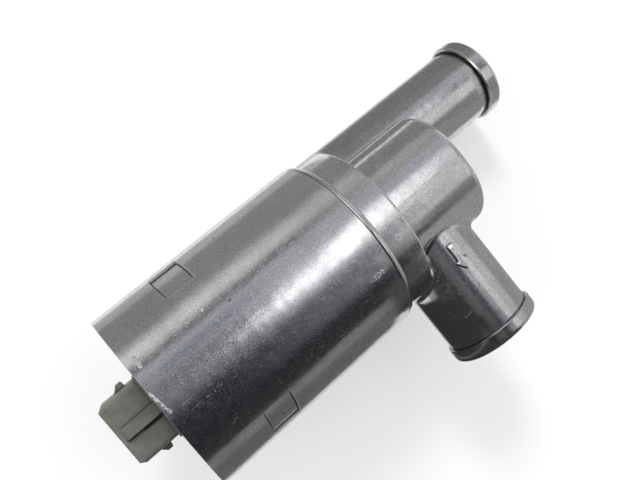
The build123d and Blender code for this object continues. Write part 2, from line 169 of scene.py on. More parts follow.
# Soft panels of the studio: angles round the can, lean along it, soft edges, colour
DARK_WALL = (0.023, 0.022, 0.03, 1)
PANELS = (
    ((-200, -84), (-2, 2), (3, 0.1), (0.21, 0.21, 0.20, 1)),
    ((34, 200), (-2, 2), (8, 0.1), (0.42, 0.42, 0.41, 1)),
    ((54, 70), (-2, 0.28), (6, 0.26), (0.83, 0.83, 0.81, 1)),
    ((76, 200), (-2, 2), (6, 0.1), (0.29, 0.29, 0.28, 1)),
    ((18, 43), (-0.3, 2), (4, 0.1), (0.49, 0.50, 0.55, 1)),
    ((43.5, 51.0), (-0.3, 0.31), (2, 0.05), (0.13, 0.135, 0.15, 1)),
    ((24, 34), (0.0, 0.15), (3, 0.05), (0.15, 0.165, 0.23, 1)),
    ((-50, -14), (0.17, 0.36), (8, 0.1), (0.17, 0.16, 0.195, 1)),
    ((-84, -40), (0.42, 2), (6, 0.08), (0.30, 0.30, 0.29, 1)),
    ((-52, -29), (0.35, 0.385), (4, 0.03, 0.015), (0.80, 0.80, 0.80, 1)),
    ((-39, -5), (0.385, 0.66), (4, 0.015, 0.05), (0.88, 0.88, 0.89, 1)),
    ((-17.5, -8), (-0.5, -0.1), (2.5, 0.08), (0.18, 0.18, 0.185, 1)),
    ((-8, 24), (-0.3, 0.13), (16, 0.06), (0.22, 0.21, 0.24, 1)),
    ((-16, 24), (0.155, 0.33), (8, 0.06), (0.61, 0.60, 0.67, 1)),
    ((-12, -3), (0.345, 0.39), (2.5, 0.02), (0.75, 0.75, 0.76, 1)),
    ((-3, 20), (0.33, 0.385), (5, 0.03, 0.02), (2.1, 2.1, 2.15, 1)),
    ((-3, 20), (0.385, 0.50), (5, 0.02, 0.05), (1.25, 1.25, 1.3, 1)),
    ((-70, 90), (0.66, 2), (10, 0.06), (0.66, 0.66, 0.65, 1)),
    ((-110, 110), (0.90, 2), (10, 0.03), (0.36, 0.36, 0.35, 1)),
    ((0, 90), (-2, -0.45), (10, 0.1), (0.50, 0.50, 0.49, 1)),
    ((6, 62), (-0.95, -0.60), (8, 0.06), (2.0, 2.0, 2.0, 1)),
)

# Key lamp: a wedge that widens along the can from its tip and drifts round it from a given lean on,
# in the panels' measures
KEY_TURN = 1.5
KEY_TIP = 0.158
KEY_SPREAD = 115.0
KEY_HALF = 12.0
KEY_SOFT = 4.0
KEY_END = 0.33
KEY_END_SOFT = 0.05
KEY_DRIFT = 30.0
KEY_DRIFT_FROM = 0.22
KEY_COLOR = (2.3, 2.3, 2.35, 1)

# Plain wall round the room, up to a low height
WALL_TOP = 0.12
WALL_SOFT = 0.04
WALL_COLOR = (0.5, 0.5, 0.5, 1)

# Lamps: direction, strength, spread in degrees
LAMPS = (
    ("sky", (0.1, 0.3, 1), 1.3, 120),
    ("window", (0.12, 0.85, 0.8), 1.75, 16),
)
LAMP_CENTRE = (0.05, 0, 0)
LAMP_DISTANCE = 2

# Grey cards that shade the metal's flanks: ends, foot and top in millimetres, level
CARDS = (
    ("card_front", (58, -40), (-30, -40), -16, 11, 0.15),
    ("card_front_mid", (58, -40), (-30, -40), 11, 21, 0.23),
    ("card_front_top", (58, -40), (-30, -40), 21, 36, 0.03),
    ("card_nook", (56.5, -75), (56.5, -24), FLOOR_Z, 20, 0.04),
    ("card_back", (-20, 42), (72, 42), -5, 24, 0.28),
    ("card_back_low", (-20, 42), (72, 42), FLOOR_Z, -5, 0.5),
    ("card_back_foot", (-20, 27), (72, 27), FLOOR_Z, -12, 0.66),
    ("card_nose_back", (72, 42), (160, 42), -5, 22, 0.28),
    ("card_end", (72, 31), (170, 31), -22, -4, 0.24),
    ("card_end_low", (72, 31), (170, 31), FLOOR_Z, -22, 0.42),
    ("card_end_front", (170, -24), (92, -24), FLOOR_Z, 0, 0.34),
    ("card_ring", (80, -54), (58, -54), -16, 34, 0.08),
    ("card_nose", (140, -54), (80, -54), -20, 34, 0.40),
    ("card_side", (102, -12), (102, -70), FLOOR_Z, 12, 0.40),
)


# Node helpers


def new_material(name):
    material = bpy.data.materials.new(name)
    material.use_nodes = True
    material.node_tree.nodes.clear()
    return material, material.node_tree


def add(tree, kind, **settings):
    node = tree.nodes.new("ShaderNode" + kind)
    for key, value in settings.items():
        setattr(node, key, value)
    return node


def feed(tree, socket, value):
    """Links an output to a socket, or sets a plain value on it."""
    if isinstance(value, bpy.types.NodeSocket):
        tree.links.new(value, socket)
    else:
        socket.default_value = value


def maths(tree, operation, a, b=0.0, clamp=False):
    node = add(tree, "Math", operation=operation, use_clamp=clamp)
    feed(tree, node.inputs[0], a)
    feed(tree, node.inputs[1], b)
    return node.outputs[0]


def times(tree, a, b):
    return maths(tree, "MULTIPLY", a, b)


def plus(tree, a, b):
    return maths(tree, "ADD", a, b)


def less(tree, a, b):
    return maths(tree, "SUBTRACT", a, b)


def most(tree, first, *others):
    """The greatest of several values."""
    for other in others:
        first = maths(tree, "MAXIMUM", first, other)
    return first


def ramp(tree, value, low, high, to_low=0.0, to_high=1.0):
    """Maps a value from low..high to to_low..to_high, held at the ends."""
    node = add(tree, "MapRange", interpolation_type="SMOOTHSTEP")
    for name, setting in (("Value", value), ("From Min", low), ("From Max", high),
                          ("To Min", to_low), ("To Max", to_high)):
        feed(tree, node.inputs[name], setting)
    return node.outputs["Result"]


def window(tree, value, low, high, soft, soft_high=None):
    """One inside low..high, falling to nought over a soft edge on either side."""
    last = soft if soft_high is None else soft_high
    rise = ramp(tree, value, low - soft, low + soft)
    fall = ramp(tree, value, high - last, high + last, 1.0, 0.0)
    return times(tree, rise, fall)


def blend(tree, share, a, b):
    """Mixes two colours."""
    node = add(tree, "Mix", data_type="RGBA")
    feed(tree, node.inputs["Factor"], share)
    feed(tree, node.inputs["A"], a)
    feed(tree, node.inputs["B"], b)
    return node.outputs["Result"]


def noise(tree, vector, scale, detail=2.0, rough=0.5):
    node = add(tree, "TexNoise")
    feed(tree, node.inputs["Vector"], vector)
    feed(tree, node.inputs["Scale"], scale)
    feed(tree, node.inputs["Detail"], detail)
    feed(tree, node.inputs["Roughness"], rough)
    return node.outputs["Fac"]


def stretched(tree, vector, scale, turn=(0.0, 0.0, 0.0)):
    node = add(tree, "Mapping")
    feed(tree, node.inputs["Vector"], vector)
    node.inputs["Rotation"].default_value = turn
    node.inputs["Scale"].default_value = scale
    return node.outputs["Vector"]


def scaled(tree, vector, scale):
    node = add(tree, "VectorMath", operation="SCALE")
    feed(tree, node.inputs[0], vector)
    feed(tree, node.inputs["Scale"], scale)
    return node.outputs["Vector"]


def axes_of(tree, vector):
    node = add(tree, "SeparateXYZ")
    tree.links.new(vector, node.inputs[0])
    return node.outputs


def millimetres(tree):
    """Object coordinates in millimetres."""
    return scaled(tree, add(tree, "TexCoord").outputs["Object"], 1 / MM)


def distance_from(tree, a, b, a0, b0):
    da = less(tree, a, a0)
    db = less(tree, b, b0)
    return maths(tree, "SQRT", plus(tree, times(tree, da, da), times(tree, db, db)))


def offset_from(tree, place, point):
    node = add(tree, "VectorMath", operation="SUBTRACT")
    feed(tree, node.inputs[0], place)
    feed(tree, node.inputs[1], point)
    return node.outputs["Vector"]


def length_of(tree, vector):
    node = add(tree, "VectorMath", operation="LENGTH")
    tree.links.new(vector, node.inputs[0])
    return node.outputs["Value"]


def dot(tree, a, b):
    node = add(tree, "VectorMath", operation="DOT_PRODUCT")
    tree.links.new(a, node.inputs[0])
    tree.links.new(b, node.inputs[1])
    return node.outputs["Value"]


def new_group(name, inputs, outputs):
    group = bpy.data.node_groups.new(name, "ShaderNodeTree")
    for label, kind, value in inputs:
        socket = group.interface.new_socket(label, in_out="INPUT", socket_type=kind)
        if value is not None:
            socket.default_value = value
    for label, kind in outputs:
        group.interface.new_socket(label, in_out="OUTPUT", socket_type=kind)
    return group, group.nodes.new("NodeGroupInput"), group.nodes.new("NodeGroupOutput")


def use(tree, group, **values):
    node = tree.nodes.new("ShaderNodeGroup")
    node.node_tree = group
    for key, value in values.items():
        feed(tree, node.inputs[key.replace("_", " ")], value)
    return node.outputs


# Shared surface effects


def make_grain():
    """Fine grain with a coarser mottle and slow waves, as on a tumbled casting."""
    group, start, end = new_group(
        "casting grain",
        (("Vector", "NodeSocketVector", None), ("Fine", "NodeSocketFloat", 3.6),
         ("Coarse", "NodeSocketFloat", 0.7), ("Wave", "NodeSocketFloat", 0.16)),
        (("Height", "NodeSocketFloat"), ("Speckle", "NodeSocketFloat"), ("Mottle", "NodeSocketFloat"),
         ("Waves", "NodeSocketFloat")))
    vector = start.outputs["Vector"]
    fine = noise(group, vector, start.outputs["Fine"], 2.0, 0.6)
    coarse = noise(group, vector, start.outputs["Coarse"], 4.0, 0.6)
    waves = noise(group, vector, start.outputs["Wave"], 2.0, 0.45)
    height = plus(group, times(group, fine, 0.7), times(group, coarse, 0.3))
    feed(group, end.inputs["Height"], height)
    feed(group, end.inputs["Speckle"], ramp(group, fine, 0.30, 0.70))
    feed(group, end.inputs["Mottle"], ramp(group, coarse, 0.3, 0.7))
    feed(group, end.inputs["Waves"], waves)
    return group


def make_scratches():
    """Short thin scratches in two directions, thinned out by a patchy mask."""
    group, start, end = new_group(
        "handling scratches",
        (("Vector", "NodeSocketVector", None), ("Amount", "NodeSocketFloat", 0.5)),
        (("Mask", "NodeSocketFloat"),))
    vector = start.outputs["Vector"]
    masks = []
    for turn, scale in (((0.3, 0.2, 0.5), (0.35, 4.0, 4.0)), ((0.9, -0.4, -0.8), (0.4, 5.0, 5.0))):
        lines = noise(group, stretched(group, vector, scale, turn), 1.0, 1.0, 0.4)
        masks.append(ramp(group, lines, 0.72, 0.78))
    both = most(group, masks[0], masks[1])
    patchy = ramp(group, noise(group, vector, 0.11, 2.0), 0.48, 0.62)
    mask = times(group, times(group, both, patchy), start.outputs["Amount"])
    feed(group, end.inputs["Mask"], mask)
    return group


def make_smudges():
    """Soft uneven patches of handling grease, and small bright nicks."""
    group, start, end = new_group(
        "smudges",
        (("Vector", "NodeSocketVector", None), ("Scale", "NodeSocketFloat", 0.08)),
        (("Mask", "NodeSocketFloat"), ("Nicks", "NodeSocketFloat")))
    vector = start.outputs["Vector"]
    soft = noise(group, vector, start.outputs["Scale"], 5.0, 0.62)
    feed(group, end.inputs["Mask"], ramp(group, soft, 0.42, 0.66))
    feed(group, end.inputs["Nicks"], ramp(group, noise(group, vector, 2.2, 2.0, 0.5), 0.72, 0.78))
    return group


def make_band():
    """A soft mask round one value, for wear, a painted highlight and painted shade along edges."""
    group, start, end = new_group(
        "edge band",
        (("Value", "NodeSocketFloat", 0.0), ("Centre", "NodeSocketFloat", 0.0),
         ("Width", "NodeSocketFloat", 1.0)),
        (("Mask", "NodeSocketFloat"),))
    away = maths(group, "ABSOLUTE", less(group, start.outputs["Value"], start.outputs["Centre"]))
    widths = maths(group, "DIVIDE", away, start.outputs["Width"])
    near = maths(group, "SUBTRACT", 1.0, widths, clamp=True)
    feed(group, end.inputs["Mask"], near)
    return group


def make_gouge():
    """A soft ridge along one straight run from a start point."""
    group, start, end = new_group(
        "gouge",
        (("Vector", "NodeSocketVector", None), ("Start", "NodeSocketVector", None),
         ("Run", "NodeSocketVector", None), ("Width", "NodeSocketFloat", 0.3)),
        (("Mask", "NodeSocketFloat"),))
    away = offset_from(group, start.outputs["Vector"], start.outputs["Start"])
    run = start.outputs["Run"]
    share = maths(group, "DIVIDE", dot(group, away, run), dot(group, run, run), clamp=True)
    aside = length_of(group, offset_from(group, away, scaled(group, run, share)))
    reach = maths(group, "DIVIDE", aside, start.outputs["Width"])
    feed(group, end.inputs["Mask"], ramp(group, reach, 0.0, 1.0, 1.0, 0.0))
    return group


def make_pocket_marks():
    """Masks for one can pocket: painted shade in its corners, a worn line round its mouth that is lightened
    also as a painted highlight, and its walls.
    """
    group, start, end = new_group(
        "pocket marks",
        (("Vector", "NodeSocketVector", None), ("Angle", "NodeSocketFloat", 0.0)),
        (("Painted shade", "NodeSocketFloat"), ("Wear and highlight", "NodeSocketFloat"), ("Walls", "NodeSocketFloat")))
    x, y, z = axes_of(group, start.outputs["Vector"])
    angle = maths(group, "RADIANS", start.outputs["Angle"])
    sine = maths(group, "SINE", angle)
    cosine = maths(group, "COSINE", angle)
    along = maths(group, "ABSOLUTE", less(group, x, POCKET_X))
    across = maths(group, "ABSOLUTE", less(group, times(group, z, cosine), times(group, y, sine)))
    out = plus(group, times(group, y, cosine), times(group, z, sine))
    this_side = maths(group, "GREATER_THAN", out, 0.0)
    past = most(group, less(group, along, POCKET_LEN / 2), less(group, across, POCKET_WIDTH / 2))
    radius = distance_from(group, y, z, 0.0, 0.0)
    # First zone: painted shade in the pocket's corners. Second: its worn mouth, lightened also as a painted
    # highlight
    zones = (
        ("Painted shade", window(group, radius, CAN_R - 1.0, CAN_R - 0.55, 0.1), (-0.3, 0.2, 0.15)),
        ("Wear and highlight", ramp(group, radius, CAN_R - 0.3, CAN_R - 0.12), (-0.2, 0.22, 0.1)),
        ("Walls", window(group, radius, CAN_R - 0.68, CAN_R - 0.08, 0.04), (-0.4, 0.3, 0.05)),
    )
    for label, at_depth, edge in zones:
        here = times(group, at_depth, this_side)
        feed(group, end.inputs[label], times(group, here, window(group, past, *edge)))
    return group


GRAIN = make_grain()
SCRATCHES = make_scratches()
SMUDGES = make_smudges()
BAND = make_band()
GOUGE = make_gouge()
POCKET_MARKS = make_pocket_marks()


# Finishes


def surface(name, metallic, settings=()):
    material, tree = new_material(name)
    out = add(tree, "OutputMaterial")
    shader = add(tree, "BsdfPrincipled")
    shader.inputs["Metallic"].default_value = metallic
    for key, value in settings:
        shader.inputs[key].default_value = value
    tree.links.new(shader.outputs[0], out.inputs["Surface"])
    return material, tree, shader


def bump(tree, shader, height, distance, under=None):
    node = add(tree, "Bump")
    node.inputs["Distance"].default_value = distance * MM
    node.inputs["Strength"].default_value = 1.0
    feed(tree, node.inputs["Height"], height)
    if under is not None:
        tree.links.new(under, node.inputs["Normal"])
    tree.links.new(node.outputs["Normal"], shader.inputs["Normal"])
    return node.outputs["Normal"]


def occlusion_shade(tree, reach):
    """Painted shade: one in tight inside corners, nought on open skin."""
    node = add(tree, "AmbientOcclusion", samples=8)
    node.inputs["Distance"].default_value = reach * MM
    return ramp(tree, node.outputs["AO"], 0.88, 0.50)


def line_mark(tree, place, start, end, width):
    """Soft ridge from one point to another."""
    return use(tree, GOUGE, Vector=place, Start=start, Run=Vector(end) - Vector(start), Width=width)["Mask"]


def cast_aluminium():
    """Satin die-cast skin: finely grained and slightly wavy, smudged, nicked, worn on its edges, where it
    is lightened also as a painted highlight, with painted shade in its corners and grooves. The nose and
    the stubs are cloudier than the can and less nicked, and the rim's end face is turned."""
    material, tree, shader = surface("cast_aluminium", 1.0)
    place = millimetres(tree)
    x, y, z = axes_of(tree, place)
    can_r = distance_from(tree, y, z, 0.0, 0.0)
    side_r = distance_from(tree, x, z, SIDE_X, 0.0)
    end_r = distance_from(tree, y, z, END_Y, END_Z)
    raw = most(tree, ramp(tree, x, *RAW_X), ramp(tree, y, *RAW_Y))
    grain = use(tree, GRAIN, Vector=place)
    smudge = use(tree, SMUDGES, Vector=place)
    scratch = use(tree, SCRATCHES, Vector=place, Amount=0.7)["Mask"]
    nicks = times(tree, smudge["Nicks"], less(tree, 1.0, times(tree, raw, 0.7)))
    cuts = most(tree, scratch, nicks)
    rubbed = rub_marks(tree, place)
    gouges = gouge_marks(tree, place)
    # First mask: painted shade in corners and grooves. Second: wear lightened also as a painted highlight
    painted_shade, wear_and_highlight, walls = edge_marks(tree, place, x, y, can_r, side_r, end_r)
    open_skin = less(tree, 0.8, times(tree, walls, 0.6))
    # Painted shade in corners and grooves, with the dark pits and the occlusion darkening
    painted_shade = most(tree, painted_shade, times(tree, pit_marks(tree, place), 0.7),
                 times(tree, occlusion_shade(tree, 0.5), open_skin))
    stain = end_stain(tree, place, x, end_r)
    cut_face = ramp(tree, x, *CUT_FACE_X)

    color = blend(tree, grain["Speckle"], CAST_DARK, CAST_LIGHT)
    sandy = ramp(tree, noise(tree, place, 1.5, 3.0, 0.7), 0.34, 0.66)
    layers = (
        (times(tree, raw, 0.55), blend(tree, sandy, CLOUD_DARK, CLOUD_LIGHT)),
        (times(tree, smudge["Mask"], 0.25), GREASE_COLOR),
        (most(tree, cuts, rubbed, gouges), BARE_COLOR),
        # Wear, lightened also as a painted highlight
        (times(tree, wear_and_highlight, 0.8), WORN_HIGHLIGHT_COLOR),
        (times(tree, walls, 0.4), POCKET_WALL_COLOR),
        # Painted shade darkens the colour here
        (painted_shade, PAINTED_SHADE_COLOR),
        (stain, STAIN_COLOR),
        (turned_rings(tree, cut_face, can_r), CUT_FACE_COLOR),
    )
    for share, layer in layers:
        color = blend(tree, share, color, layer)
    tree.links.new(color, shader.inputs["Base Color"])

    rough = ramp(tree, grain["Mottle"], 0.0, 1.0, 0.15, 0.20)
    frost = ramp(tree, grain["Speckle"], 0.7, 1.0)
    dull = most(tree, stain, painted_shade, rubbed, walls)
    for share, added in ((cut_face, 0.2), (smudge["Mask"], 0.04), (frost, 0.05), (dull, 0.35)):
        rough = plus(tree, rough, times(tree, share, added))
    tree.links.new(rough, shader.inputs["Roughness"])
    matt = most(tree, times(tree, walls, 0.18), times(tree, rubbed, 0.5),
                ramp(tree, grain["Speckle"], 0.35, 1.0, 0.0, 0.02))
    tree.links.new(less(tree, 1.0, matt), shader.inputs["Metallic"])

    waves = bump(tree, shader, grain["Waves"], WAVE_DEPTH)
    height = times(tree, grain["Height"], plus(tree, 1.0, times(tree, rubbed, 4.0)))
    pits = bump(tree, shader, height, GRAIN_DEPTH, under=waves)
    marks = bump(tree, shader, cuts, -CUT_DEPTH, under=pits)
    bump(tree, shader, gouges, GOUGE_HEIGHT, under=marks)
    return material


def turned_rings(tree, cut_face, can_r):
    """Fine rings that a turning tool left on the rim's end face."""
    turned = add(tree, "TexNoise", noise_dimensions="1D")
    feed(tree, turned.inputs["W"], can_r)
    feed(tree, turned.inputs["Scale"], 5.0)
    return times(tree, cut_face, ramp(tree, turned.outputs["Fac"], 0.3, 0.7, 0.35, 0.8))


def gouge_marks(tree, place):
    """Height of the gouges, one along the line of each, with ragged sides."""
    ragged = add(tree, "TexNoise")
    feed(tree, ragged.inputs["Vector"], place)
    feed(tree, ragged.inputs["Scale"], 1.6)
    feed(tree, ragged.inputs["Detail"], 3.0)
    sway = offset_from(tree, ragged.outputs["Color"], (0.5, 0.5, 0.5))
    marks = []
    for start, end, width in GOUGES:
        swayed = offset_from(tree, place, scaled(tree, sway, GOUGE_SWAY * width))
        marks.append(line_mark(tree, swayed, start, end, width))
    return most(tree, *marks)


def pit_marks(tree, place):
    """One in the middle of each small pit."""
    away = [length_of(tree, offset_from(tree, place, point)) for point in PITS]
    return most(tree, *(ramp(tree, reach, PIT_R, 0.3 * PIT_R) for reach in away))


def rub_marks(tree, place):
    """Bright patches where the skin was rubbed, broken up by a fine speckle."""
    speckle = ramp(tree, noise(tree, place, 3.0, 3.0, 0.7), 0.48, 0.60)
    patches = []
    for centre, half in RUB_MARKS:
        scale = add(tree, "VectorMath", operation="DIVIDE")
        tree.links.new(offset_from(tree, place, centre), scale.inputs[0])
        scale.inputs[1].default_value = half
        patches.append(ramp(tree, length_of(tree, scale.outputs[0]), 0.4, 1.1, 1.0, 0.0))
    return times(tree, most(tree, *patches), speckle)


def edge_marks(tree, place, x, y, can_r, side_r, end_r):
    """Masks for painted shade in corners and grooves, for wear on edges that is lightened also as a painted
    highlight, and for the pockets' walls.
    """
    def band(value, centre, width, radius, limits):
        mask = use(tree, BAND, Value=value, Centre=centre, Width=width)["Mask"]
        return times(tree, mask, ramp(tree, radius, *limits))

    uneven = ramp(tree, noise(tree, place, 0.45, 3.0, 0.6), 0.35, 0.62)
    # Painted shade in the stubs' inside corners and in the shoulder groove
    side_corner = band(y, SIDE_SHOULDER_Y + 0.05, 0.35, side_r, SIDE_CORNER_R)
    end_corner = band(x, END_SHOULDER_X - 0.05, 0.4, end_r, END_CORNER_R)
    patchy = plus(tree, 0.35, times(tree, uneven, 0.5))
    groove = band(x, GROOVE_X, 0.22, can_r, (CAN_R, CAN_R - 0.12))
    painted_shade = most(tree, times(tree, most(tree, side_corner, end_corner), patchy), times(tree, groove, 0.7))
    # Wear on the end bead's edge, lightened also as a painted highlight
    wear_and_highlight = band(x, END_SHOULDER_X + 0.3, 0.5, end_r, END_WEAR_R)
    walls = 0.0
    for angle in POCKET_ANGLES:
        marks = use(tree, POCKET_MARKS, Vector=place, Angle=angle)
        painted_shade = most(tree, painted_shade, times(tree, marks["Painted shade"], 0.85))
        wear_and_highlight = most(tree, wear_and_highlight, marks["Wear and highlight"])
        walls = most(tree, walls, marks["Walls"])
    rim = band(x, 0.0, 0.5, can_r, RIM_R)
    return painted_shade, most(tree, wear_and_highlight, times(tree, rim, uneven)), walls


def end_stain(tree, place, x, end_r):
    """Brown stain in the end stub's neck, patchy along its edge."""
    edge = plus(tree, x, times(tree, noise(tree, place, 0.5, 4.0, 0.65), 3.2))
    patch = ramp(tree, edge, END_SHOULDER_X + 0.2, END_SHOULDER_X + 1.7)
    on_neck = times(tree, window(tree, end_r, *NECK_R, 0.1), ramp(tree, x, *NECK_X))
    return times(tree, times(tree, patch, on_neck), 0.85)


def mottled(tree, grain, rough, below, above):
    """Roughness that follows the grain's mottle."""
    return ramp(tree, grain["Mottle"], 0.0, 1.0, rough - below, rough + above)


def moulded_plastic(name, dark, light, rough, smudge_color, shadow_lines=()):
    """Moulded plastic with a fine spark-eroded grain, faint flow marks and dust, painted shade in its
    corners and a painted shadow along the given lines."""
    material, tree, shader = surface(name, 0.0, (("IOR", 1.5),))
    place = millimetres(tree)
    grain = use(tree, GRAIN, Vector=place, Fine=5.0, Coarse=0.5)
    smudge = use(tree, SMUDGES, Vector=place, Scale=0.2)
    color = blend(tree, grain["Mottle"], dark, light)
    color = blend(tree, times(tree, smudge["Mask"], 0.3), color, smudge_color)
    # Painted shade in corners, and painted shadows along the given lines
    painted_shade = times(tree, occlusion_shade(tree, 1.0), 0.6)
    for start, end, width in shadow_lines:
        line = ramp(tree, line_mark(tree, place, start, end, width), 0.0, 0.5)
        painted_shade = most(tree, painted_shade, times(tree, line, 0.92))
    # Painted shade and painted shadow darken the colour
    color = blend(tree, painted_shade, color, PLUG_SHADE_COLOR)
    tree.links.new(color, shader.inputs["Base Color"])
    tree.links.new(mottled(tree, grain, rough, 0.06, 0.06), shader.inputs["Roughness"])
    bump(tree, shader, grain["Height"], 0.01)
    return material


def plain_metal(name, dark, light, rough, fine=3.0, depth=0.006):
    """Turned, pressed or sintered metal with a little grain and tarnish."""
    material, tree, shader = surface(name, 1.0)
    place = millimetres(tree)
    grain = use(tree, GRAIN, Vector=place, Fine=fine)
    scratch = use(tree, SCRATCHES, Vector=place, Amount=0.4)["Mask"]
    color = blend(tree, grain["Mottle"], dark, light)
    tree.links.new(color, shader.inputs["Base Color"])
    polished = less(tree, mottled(tree, grain, rough, 0.05, 0.07), times(tree, scratch, 0.08))
    tree.links.new(polished, shader.inputs["Roughness"])
    bump(tree, shader, grain["Height"], depth)
    return material


def dull_solid(name, dark, light, rough, fine=4.0):
    """Rubber, carbon or ferrite: dull, dark and slightly grainy."""
    material, tree, shader = surface(name, 0.0)
    place = millimetres(tree)
    grain = use(tree, GRAIN, Vector=place, Fine=fine)
    tree.links.new(blend(tree, grain["Mottle"], dark, light), shader.inputs["Base Color"])
    tree.links.new(mottled(tree, grain, rough, 0.05, 0.05), shader.inputs["Roughness"])
    bump(tree, shader, grain["Height"], 0.01)
    return material


def grey(value, tint=1.0):
    return (value, value, value * tint, 1)


FINISHES = {
    "cast_aluminium": cast_aluminium(),
    # The grey plastic gets a painted shadow along the foot of its key rib
    "grey_plastic": moulded_plastic("grey_plastic", (0.125, 0.124, 0.105, 1), (0.160, 0.158, 0.135, 1),
                                    0.48, (0.20, 0.195, 0.17, 1), RIB_SHADOW),
    "dark_plastic": moulded_plastic("dark_plastic", grey(0.02), grey(0.035), 0.5, grey(0.05)),
    "tinned_brass": plain_metal("tinned_brass", (0.60, 0.58, 0.53, 1), (0.74, 0.72, 0.68, 1), 0.28),
    "carbon": dull_solid("carbon", grey(0.015), grey(0.035), 0.6),
    "seal_rubber": dull_solid("seal_rubber", grey(0.008), grey(0.018), 0.55),
    "bush_bronze": plain_metal("bush_bronze", (0.40, 0.25, 0.11, 1), (0.58, 0.38, 0.18, 1), 0.42,
                               5.0, 0.012),
    "steel": plain_metal("steel", grey(0.48), grey(0.60), 0.22),
    "spring_steel": plain_metal("spring_steel", grey(0.32, 1.05), grey(0.44, 1.08), 0.26),
    "pole_steel": plain_metal("pole_steel", grey(0.36, 0.95), grey(0.50, 0.95), 0.36),
    "ferrite": dull_solid("ferrite", grey(0.03), grey(0.07), 0.62),
    "copper": plain_metal("copper", (0.62, 0.28, 0.16, 1), (0.82, 0.44, 0.28, 1), 0.3),
}


def finish_nodes():
    for part in frame["record"]["subparts"]:
        data = nodes[part["node"]].data
        data.materials.clear()
        data.materials.append(FINISHES[part["material_slot"]])


# Cast marks


def select_where(test):
    """In edit mode of the active mesh, selects the vertices whose place passes the test."""
    bpy.ops.mesh.select_mode(type="VERT")
    bpy.ops.mesh.select_all(action="DESELECT")
    bpy.ops.object.mode_set(mode="OBJECT")
    mesh = bpy.context.object.data
    for vertex in mesh.vertices:
        vertex.select = test(vertex.co)
    bpy.ops.object.mode_set(mode="EDIT")


def apply_modifier(kind, name, **settings):
    piece = bpy.context.object
    modifier = piece.modifiers.new(name, kind)
    for key, value in settings.items():
        setattr(modifier, key, value)
    bpy.ops.object.modifier_apply(modifier=name)


def settle(piece, name, slot):
    """Leaves a finished piece at the origin on the valve body, with its finish."""
    bpy.ops.object.transform_apply(location=True, rotation=True, scale=True)
    piece.name = name
    piece.data.name = name
    piece.data.materials.clear()
    piece.data.materials.append(FINISHES[slot])
    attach(piece, "valve_body")


def flow_arrow():
    """Raised arrow that follows the round of the side stub and points out along it."""
    top = SIDE_R + ARROW_START_ABOVE
    bpy.ops.object.select_all(action="DESELECT")
    bpy.ops.mesh.primitive_grid_add(x_subdivisions=4, y_subdivisions=2, size=2.0)
    piece = bpy.context.object
    bpy.ops.object.mode_set(mode="EDIT")
    columns = {-1.0: -ARROW_HEAD / 2, -0.5: -ARROW_SHAFT / 2, 0.0: 0.0,
               0.5: ARROW_SHAFT / 2, 1.0: ARROW_HEAD / 2}
    rows = {1.0: ARROW_TAIL_Y, 0.0: ARROW_NECK_Y, -1.0: ARROW_TIP_Y}
    select_where(lambda co: abs(co.x) > 0.9 and co.y > 0.9)
    bpy.ops.mesh.delete(type="VERT")
    select_where(lambda co: co.y < -0.9)
    bpy.ops.mesh.merge(type="CENTER")
    bpy.ops.object.mode_set(mode="OBJECT")
    for vertex in piece.data.vertices:
        column = min(columns, key=lambda key: abs(key - vertex.co.x))
        row = min(rows, key=lambda key: abs(key - vertex.co.y))
        vertex.co = (columns[column], rows[row], 0.0)
    bpy.ops.object.mode_set(mode="EDIT")
    bpy.ops.mesh.select_all(action="SELECT")
    bpy.ops.mesh.subdivide(number_cuts=3)
    bpy.ops.transform.resize(value=(MM, MM, MM), center_override=(0, 0, 0))
    bpy.ops.transform.translate(value=(ARROW_X * MM, 0, top * MM))
    bpy.ops.object.mode_set(mode="OBJECT")
    apply_modifier("SHRINKWRAP", "onto stub", target=nodes["housing"], wrap_method="PROJECT",
                   use_project_x=False, use_project_y=False, use_project_z=True,
                   use_negative_direction=True, use_positive_direction=False, offset=-ARROW_SUNK * MM)
    apply_modifier("SOLIDIFY", "thickness", thickness=-(ARROW_PROUD + ARROW_SUNK) * MM, offset=-1.0)
    apply_modifier("BEVEL", "sloped edges", width=ARROW_SLOPE * MM, segments=2, limit_method="ANGLE",
                   angle_limit=math.radians(ARROW_EDGE_ANGLE))
    bpy.ops.object.shade_smooth_by_angle(angle=math.radians(ARROW_SMOOTH_ANGLE))
    settle(piece, "flow_arrow", "cast_aluminium")


def punch_mark():
    """Small punched crater with a raised lip."""
    bpy.ops.object.select_all(action="DESELECT")
    bpy.ops.mesh.primitive_circle_add(vertices=PUNCH_SIDES, radius=PUNCH_R * MM, fill_type="NOTHING")
    piece = bpy.context.object
    bpy.ops.object.mode_set(mode="EDIT")
    bpy.ops.mesh.select_all(action="SELECT")
    for shrink, rise in PUNCH_RINGS:
        bpy.ops.mesh.extrude_region_move(TRANSFORM_OT_translate={"value": (0, 0, rise * MM)})
        bpy.ops.transform.resize(value=(shrink, shrink, 1.0))
    bpy.ops.mesh.edge_face_add()
    bpy.ops.mesh.select_all(action="SELECT")
    bpy.ops.mesh.normals_make_consistent(inside=False)
    bpy.ops.object.mode_set(mode="OBJECT")
    turn = math.radians(PUNCH_ANGLE)
    out = Vector((0.0, math.cos(turn), math.sin(turn)))
    place = Vector((PUNCH_X, 0, 0)) * MM + out * (POCKET_FLOOR_R - PUNCH_SUNK) * MM
    piece.matrix_world = Matrix.Translation(place) @ out.to_track_quat("Z", "X").to_matrix().to_4x4()
    bpy.ops.object.shade_smooth()
    settle(piece, "punch_mark", "cast_aluminium")


# Studio


